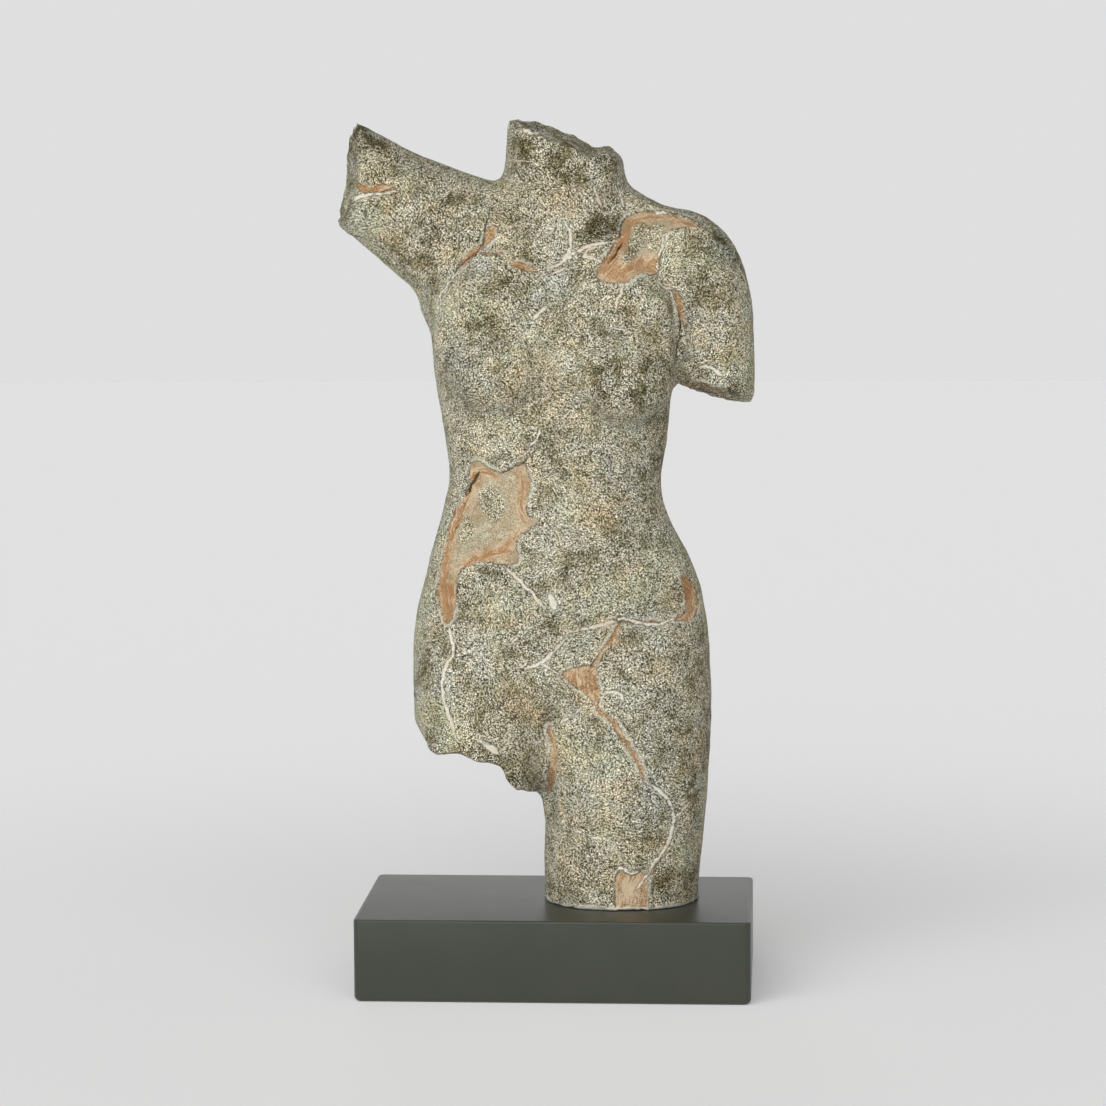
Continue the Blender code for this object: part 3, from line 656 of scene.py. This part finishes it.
class Finish:
    """The nodes of one material, or of the room's light, as they are wired up."""

    def __init__(self, owner, shader="Principled BSDF"):
        owner.use_nodes = True
        self.owner = owner
        self.tree = owner.node_tree
        self.shader = self.tree.nodes[shader]

    def add(self, kind, settings=None, sockets=None, output=0):
        """Adds a node, makes its settings, then fills its sockets with values or links."""
        node = self.tree.nodes.new(kind)
        for name, value in (settings or {}).items():
            if name == "stops":
                while len(node.color_ramp.elements) < len(value):
                    node.color_ramp.elements.new(0.5)
                for element, (position, colour) in zip(node.color_ramp.elements, value):
                    element.position = position
                    element.color = (*colour, 1)
            else:
                setattr(node, name, value)
        self.fill(node, sockets or {})
        return Wire(self, node.outputs[output])

    def fill(self, node, sockets):
        for name, value in sockets.items():
            if isinstance(value, Wire):
                self.tree.links.new(value.socket, node.inputs[name])
            elif isinstance(value, tuple) and len(value) == 3 and node.inputs[name].type == "RGBA":
                node.inputs[name].default_value = (*value, 1)
            else:
                node.inputs[name].default_value = value

    def place(self):
        return self.add("ShaderNodeTexCoord", output="Object")

    def mark(self, name):
        return self.add("ShaderNodeAttribute", {"attribute_name": name}, output="Fac")

    def cloud(self, place, size, detail=3.0, roughness=0.55):
        """Soft noise from 0 to 1 with lumps of a size in metres."""
        sockets = {"Vector": place, "Scale": 1 / size, "Detail": detail, "Roughness": roughness}
        return self.add("ShaderNodeTexNoise", sockets=sockets)

    def mix(self, share, below, above, blend="MIX"):
        """A colour between two others, or by MULTIPLY one colour tinted with another."""
        sockets = {0: share, 6: below, 7: above}
        return self.add("ShaderNodeMix", {"data_type": "RGBA", "blend_type": blend}, sockets, 2)


def paint(red, green, blue):
    """A colour from 0 to 255 as the shader's own numbers."""
    return tuple(c / 255 / 12.92 if c < 10 else ((c / 255 + 0.055) / 1.055) ** 2.4
                 for c in (red, green, blue))


FLAKE_SIZE = 0.46 * MM
FLAKE_STRAY = 1.0 * MM
FLAKE_STRAY_SIZE = 1.4 * MM
FLAKE_BUMP = 0.15 * MM
CRAZE_SIZE = 6.5 * MM
CRAZE_STRAY = 9.0 * MM
CRAZE_STRAY_SIZE = 6 * MM
CREVICE = paint(43, 35, 10)
SHADOW_OLIVE = paint(86, 78, 46)
OLIVE = paint(126, 119, 84)
GREY_STONE = paint(162, 155, 120)
CREAM = paint(202, 196, 165)
CHALK = paint(244, 240, 218)
OCHRE_TINT = (1.13, 0.97, 0.80)
SLATE_TINT = (0.91, 1.00, 1.17)
MOSS_TINT = (0.93, 1.01, 0.90)
CLAY_DEEP = paint(151, 105, 61)
CLAY_MIDDLE = paint(171, 137, 99)
CLAY_PALE = paint(198, 177, 146)
LIME = paint(222, 219, 205)
PLASTER = paint(168, 148, 116)
PLASTER_GREEN = paint(154, 150, 124)
PLASTER_PALE = paint(188, 180, 156)
BROWN_EDGE = paint(84, 64, 42)

stone = Finish(bpy.data.materials.new("cast_stone"))
at = stone.place()
stray = stone.add("ShaderNodeTexNoise", sockets={
    "Vector": at, "Scale": 1 / FLAKE_STRAY_SIZE, "Detail": 2.0}, output="Color")
shifted = stone.add("ShaderNodeVectorMath", {"operation": "MULTIPLY_ADD"},
                    {0: stray, 1: (FLAKE_STRAY,) * 3, 2: at})
flake_cell = stone.add("ShaderNodeTexVoronoi", {"feature": "F1"},
                       {"Vector": shifted, "Scale": 1 / FLAKE_SIZE}, "Color")
flake = stone.add("ShaderNodeSeparateColor", sockets={"Color": flake_cell})
flake_gap = stone.add("ShaderNodeTexVoronoi", {"feature": "DISTANCE_TO_EDGE"},
                      {"Vector": shifted, "Scale": 1 / FLAKE_SIZE}, "Distance")
broad = stone.cloud(at, 50 * MM, 2.0, 0.5)
stain = stone.cloud(at, 24 * MM, 3.0, 0.6)
hue = stone.cloud(at, 18 * MM, 3.0, 0.65)
patchy = stone.cloud(at, 14 * MM, 2.0, 0.6)
blotch = stone.cloud(at, 9 * MM, 3.0, 0.52)
fine = stone.cloud(at, 1.1 * MM, 1.0, 0.5)
lime_mark = stone.mark("lime")
clay_mark = stone.mark("clay")
plaster_mark = stone.mark("plaster")

bent = stone.add("ShaderNodeTexNoise", sockets={
    "Vector": at, "Scale": 1 / CRAZE_STRAY_SIZE, "Detail": 3.0}, output="Color")
bent_place = stone.add("ShaderNodeVectorMath", {"operation": "MULTIPLY_ADD"},
                       {0: bent, 1: (CRAZE_STRAY,) * 3, 2: at})
craze_gap = stone.add("ShaderNodeTexVoronoi", {"feature": "DISTANCE_TO_EDGE"},
                      {"Vector": bent_place, "Scale": 1 / CRAZE_SIZE}, "Distance")
crazed = (1 - craze_gap.over(0.01, 0.07)) * stain.over(0.50, 0.62)

standing = flake_gap.over(0.02, 0.22)
roughened = patchy.over(0.36, 0.62) * 0.70 + 0.50
chalky = (lime_mark + (blotch - 0.5) * 9).over(-4.5, 0.5)
# The chalk dabs lighten the wash and the soot dabs darken it: partly wiped and sooty wash, partly painted
# highlight and painted shade.
chalk_and_highlight_mark = stone.mark("chalk")
soot_and_shade_mark = stone.mark("soot")
tone = ((flake - 0.5) * 2.90 + (fine - 0.5) * 0.20) * roughened + standing * 0.15 + 0.290
tone = tone + (blotch - 0.5) * 0.55 + (stain - 0.5) * 0.60 + (broad - 0.5) * 0.80 + chalky * 0.12
tone = tone + chalk_and_highlight_mark * 0.20 - soot_and_shade_mark * 0.31 - stone.mark("broken") * 0.16 - crazed * 0.28
wash = stone.add("ShaderNodeValToRGB", {"stops": [
    (0.00, CREVICE), (0.22, SHADOW_OLIVE), (0.42, OLIVE), (0.60, GREY_STONE), (0.80, CREAM), (1.00, CHALK),
]}, {0: tone})
ochre = hue.over(0.50, 0.68) * 0.50 + stone.mark("ochre") * 0.75
slate = (1 - hue).over(0.50, 0.66) * 0.30 + stone.mark("slate") * 0.70
moss = broad.over(0.50, 0.66) * 0.45
tinted = stone.mix(ochre.sum("MINIMUM", 1.0), wash, OCHRE_TINT, "MULTIPLY")
tinted = stone.mix(slate.sum("MINIMUM", 1.0), tinted, SLATE_TINT, "MULTIPLY")
tinted = stone.mix(moss, tinted, MOSS_TINT, "MULTIPLY")

ragged = (fine - 0.5) * 2.0 + (blotch - 0.5) * 3.0
inside = (stone.mark("island") + ragged * 2).over(-1.2, 1.2)
plaster_in = (plaster_mark + ragged).over(-0.4, 0.5) * (1 - inside * 0.85)
clay_in = (clay_mark + ragged).over(-1.2, 1.0)
clay_wash = (clay_mark + ragged * 2.5).over(-7.0, 0.5) * plaster_in
lip = clay_mark.sum("MAXIMUM", plaster_mark) + ragged * 0.7
rim = lip.over(-1.3, -0.3) * (1 - lip.over(-0.1, 0.9)) * patchy.over(0.44, 0.60)
wiped = lip.over(-3.6, -1.4) * (1 - lip.over(-1.2, -0.4)) * (1 - patchy).over(0.46, 0.60)
lime_in = (lime_mark + ragged * 0.9).over(-0.3, 0.5) * (blotch.over(0.32, 0.42) * 0.4 + 0.6)
lime_foot = (lime_mark + ragged * 0.6).over(-1.4, -0.5) * (1 - lime_in)
crack_painted_shade = (stone.mark("crack") + ragged * 0.35).over(-0.4, 0.3)
collar_in = (stone.mark("collar") + (fine - 0.5) * 0.5).over(0.25, 0.6)

streak_place = stone.add("ShaderNodeCombineXYZ", sockets={
    "X": stone.mark("along") * (1 / 11.0), "Y": stone.mark("across") * (1 / 1.3) + (blotch - 0.5) * 2.0})
streak = stone.add("ShaderNodeTexNoise", sockets={"Vector": streak_place, "Scale": 1.0, "Detail": 3.0})
clay_tone = (streak - 0.5) * 2.6 + (patchy - 0.5) * 2.0 + 0.52
clay_tone = clay_tone + (fine - 0.5) * 0.9 + (flake - 0.5) * 0.50 - (clay_mark.over(-1.0, 3.0) - 0.4) * 0.35
# The same dabs lighten and darken the clay: painted highlight and painted shade as well as wiped and sooty
# clay.
clay_tone = clay_tone + chalk_and_highlight_mark * 0.40 - soot_and_shade_mark * 0.30
clay_colour = stone.add("ShaderNodeValToRGB", {"stops": [
    (0.15, CLAY_DEEP), (0.50, CLAY_MIDDLE), (0.85, CLAY_PALE)]}, {0: clay_tone})
plaster_tone = stone.mix(hue.over(0.46, 0.60), PLASTER, PLASTER_GREEN)
plaster_tone = stone.mix(blotch.over(0.50, 0.64) * 0.7, plaster_tone, PLASTER_PALE)
plaster_colour = stone.mix(0.16 + 0.24 * blotch, plaster_tone, wash)
colour = stone.mix(wiped * 0.55, tinted, LIME)
colour = stone.mix(plaster_in * 0.92, colour, plaster_colour)
clay_cover = clay_in * (patchy.over(0.36, 0.58) * 0.24 + 0.68)
colour = stone.mix(clay_cover.sum("MAXIMUM", clay_wash * 0.66), colour, clay_colour)
colour = stone.mix(rim * 0.75, colour, BROWN_EDGE)
colour = stone.mix(lime_foot * 0.45, colour, BROWN_EDGE)
lime_colour = stone.mix(hue.over(0.46, 0.58) * 0.40, LIME, CLAY_PALE)
colour = stone.mix(lime_in * (fine.over(0.30, 0.55) * 0.40 + 0.58), colour, lime_colour)
colour = stone.mix(collar_in * 0.8, colour, LIME)
# Painted shade: the open cracks are filled with the darkest wash colour, as shade inside them.
colour = stone.mix(crack_painted_shade * 0.85, colour, CREVICE)
smooth_mend = (clay_in + plaster_in * 0.6 + lime_in * 0.5).sum("MINIMUM", 1.0)
bump_height = (flake * 0.7 + standing * 0.5 + fine * 0.8) * (1 - smooth_mend * 0.7) - crazed * 1.2
stone.shader.inputs["Roughness"].default_value = 0.82
stone.shader.inputs["Specular IOR Level"].default_value = 0.35
bumped = stone.add("ShaderNodeBump", sockets={"Height": bump_height, "Strength": 1.0, "Distance": FLAKE_BUMP})
stone.fill(stone.shader, {"Base Color": colour, "Normal": bumped})

skin.data.materials.append(stone.owner)
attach(skin, "root")
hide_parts("torso")

# The plinth is a plain cast block with softened edges, sprayed a dark grey-green satin paint. The figure's
# foot stands on it, and its underside rests on the floor.
PLINTH_CORNER = 5.0 * MM
PLINTH_TOP_EDGE = 1.5 * MM
PLINTH_FOOT_EDGE = 4.0 * MM
PAINT = paint(50, 53, 44)
PAINT_WORN = paint(58, 61, 51)

plinth_low, plinth_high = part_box("plinth")
bpy.ops.object.select_all(action="DESELECT")
bpy.ops.mesh.primitive_cube_add(
    size=1, location=(plinth_low + plinth_high) / 2, scale=plinth_high - plinth_low)
block = bpy.context.active_object
block.name = "plinth_block"
bpy.ops.object.transform_apply(location=True, rotation=True, scale=True)


def bevelled(piece, width, segments, chosen):
    """Rounds those edges of a piece for which chosen, given the edge's two ends, is true."""
    only(piece)
    bpy.ops.object.mode_set(mode="EDIT")
    bpy.ops.mesh.select_mode(type="EDGE")
    bpy.ops.mesh.select_all(action="DESELECT")
    bpy.ops.object.mode_set(mode="OBJECT")
    for edge in piece.data.edges:
        a, b = (piece.data.vertices[v].co for v in edge.vertices)
        edge.select = chosen(a, b)
    bpy.ops.object.mode_set(mode="EDIT")
    bpy.ops.mesh.bevel(offset=width, segments=segments, affect="EDGES")
    bpy.ops.object.mode_set(mode="OBJECT")


def level_with(height):
    """Picks edges that lie at one height."""
    return lambda a, b: abs(a.z - height) < 0.01 * MM and abs(b.z - height) < 0.01 * MM


bevelled(block, PLINTH_CORNER, segments=8, chosen=lambda a, b: abs(a.z - b.z) > PLINTH_CORNER)
bevelled(block, PLINTH_TOP_EDGE, segments=5, chosen=level_with(plinth_high.z))
bevelled(block, PLINTH_FOOT_EDGE, segments=6, chosen=level_with(plinth_low.z))
only(block)
bpy.ops.object.shade_smooth_by_angle(angle=math.radians(35))

satin = Finish(bpy.data.materials.new("plinth_paint"))
at = satin.place()
dust = satin.cloud(at, 40 * MM, 4.0, 0.6)
peel = satin.cloud(at, 1.6 * MM, 2.0, 0.5)
satin.fill(satin.shader, {
    "Base Color": satin.mix(dust.over(0.35, 0.75) * 0.35, PAINT, PAINT_WORN),
    "Roughness": 0.32 + (dust - 0.5) * 0.10,
    "Normal": satin.add("ShaderNodeBump", sockets={"Height": peel, "Strength": 0.25, "Distance": 0.06 * MM}),
})
block.data.materials.append(satin.owner)
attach(block, "root")
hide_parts("plinth")

# The studio is a wide pale floor in a pale room. Its light comes mostly from a soft wall of light in front,
# so the statue's sides turn darker, with one big soft lamp high on the left whose shadow falls to the right
# and a level one behind for the back.
FLOOR_SIDE = 14.0
FLOOR_COLOUR = (0.78, 0.78, 0.78)
FLOOR_GLOW_NEAR = 0.195
FLOOR_GLOW_FAR = 0.26
FLOOR_NEAR = 0.25
FLOOR_FAR = 1.10
ROOM_SEEN = 0.74
ROOM_DIM = 0.14
ROOM_GLOW = 1.72
GLOW_FROM = (-0.12, -0.98, 0.05)
LAMPS = {
    "lamp": (1.1, (-0.45, -1.0, 0.55), 60),
    "lamp behind": (1.5, (-0.18, 1.0, 0.0), 25),
}

bpy.ops.object.select_all(action="DESELECT")
bpy.ops.mesh.primitive_plane_add(size=FLOOR_SIDE, location=(0, 0, plinth_low.z))
floor = bpy.context.active_object
floor.name = "floor"
pale = Finish(bpy.data.materials.new("pale_floor"))
pale.shader.inputs["Base Color"].default_value = (*FLOOR_COLOUR, 1)
pale.shader.inputs["Roughness"].default_value = 0.9
pale.shader.inputs["Specular IOR Level"].default_value = 0.0
pale.shader.inputs["Emission Strength"].default_value = 1.0
away = pale.add("ShaderNodeVectorMath", {"operation": "LENGTH"}, {0: pale.place()}, "Value")
pale.fill(pale.shader, {"Emission Color": pale.mix(
    away.over(FLOOR_NEAR, FLOOR_FAR), (FLOOR_GLOW_NEAR,) * 3, (FLOOR_GLOW_FAR,) * 3)})
floor.data.materials.append(pale.owner)

room = Finish(bpy.data.worlds.new("room"), "Background")
towards = room.add("ShaderNodeTexCoord", output="Generated")
facing = room.add("ShaderNodeVectorMath", {"operation": "DOT_PRODUCT"},
                  {0: towards, 1: tuple(Vector(GLOW_FROM).normalized())}, "Value")
seen = room.add("ShaderNodeLightPath", output="Is Camera Ray")
mirrored = room.add("ShaderNodeLightPath", output="Is Glossy Ray")
open_wall = seen.sum("MAXIMUM", mirrored)
glow = facing.over(0.15, 1.0) * ROOM_GLOW + ROOM_DIM
room.fill(room.shader, {"Strength": open_wall * ROOM_SEEN + (1 - open_wall) * glow})
room.shader.inputs["Color"].default_value = (1, 1, 1, 1)
bpy.context.scene.world = room.owner
for name, (strength, come_from, spread) in LAMPS.items():
    lamp = bpy.data.objects.new(name, bpy.data.lights.new(name, "SUN"))
    lamp.data.energy = strength
    lamp.data.angle = math.radians(spread)
    lamp.rotation_euler = Vector(come_from).to_track_quat("Z", "Y").to_euler()
    lamp.visible_glossy = come_from[1] < 0
    bpy.context.scene.collection.objects.link(lamp)
bpy.context.scene.view_settings.view_transform = "Standard"
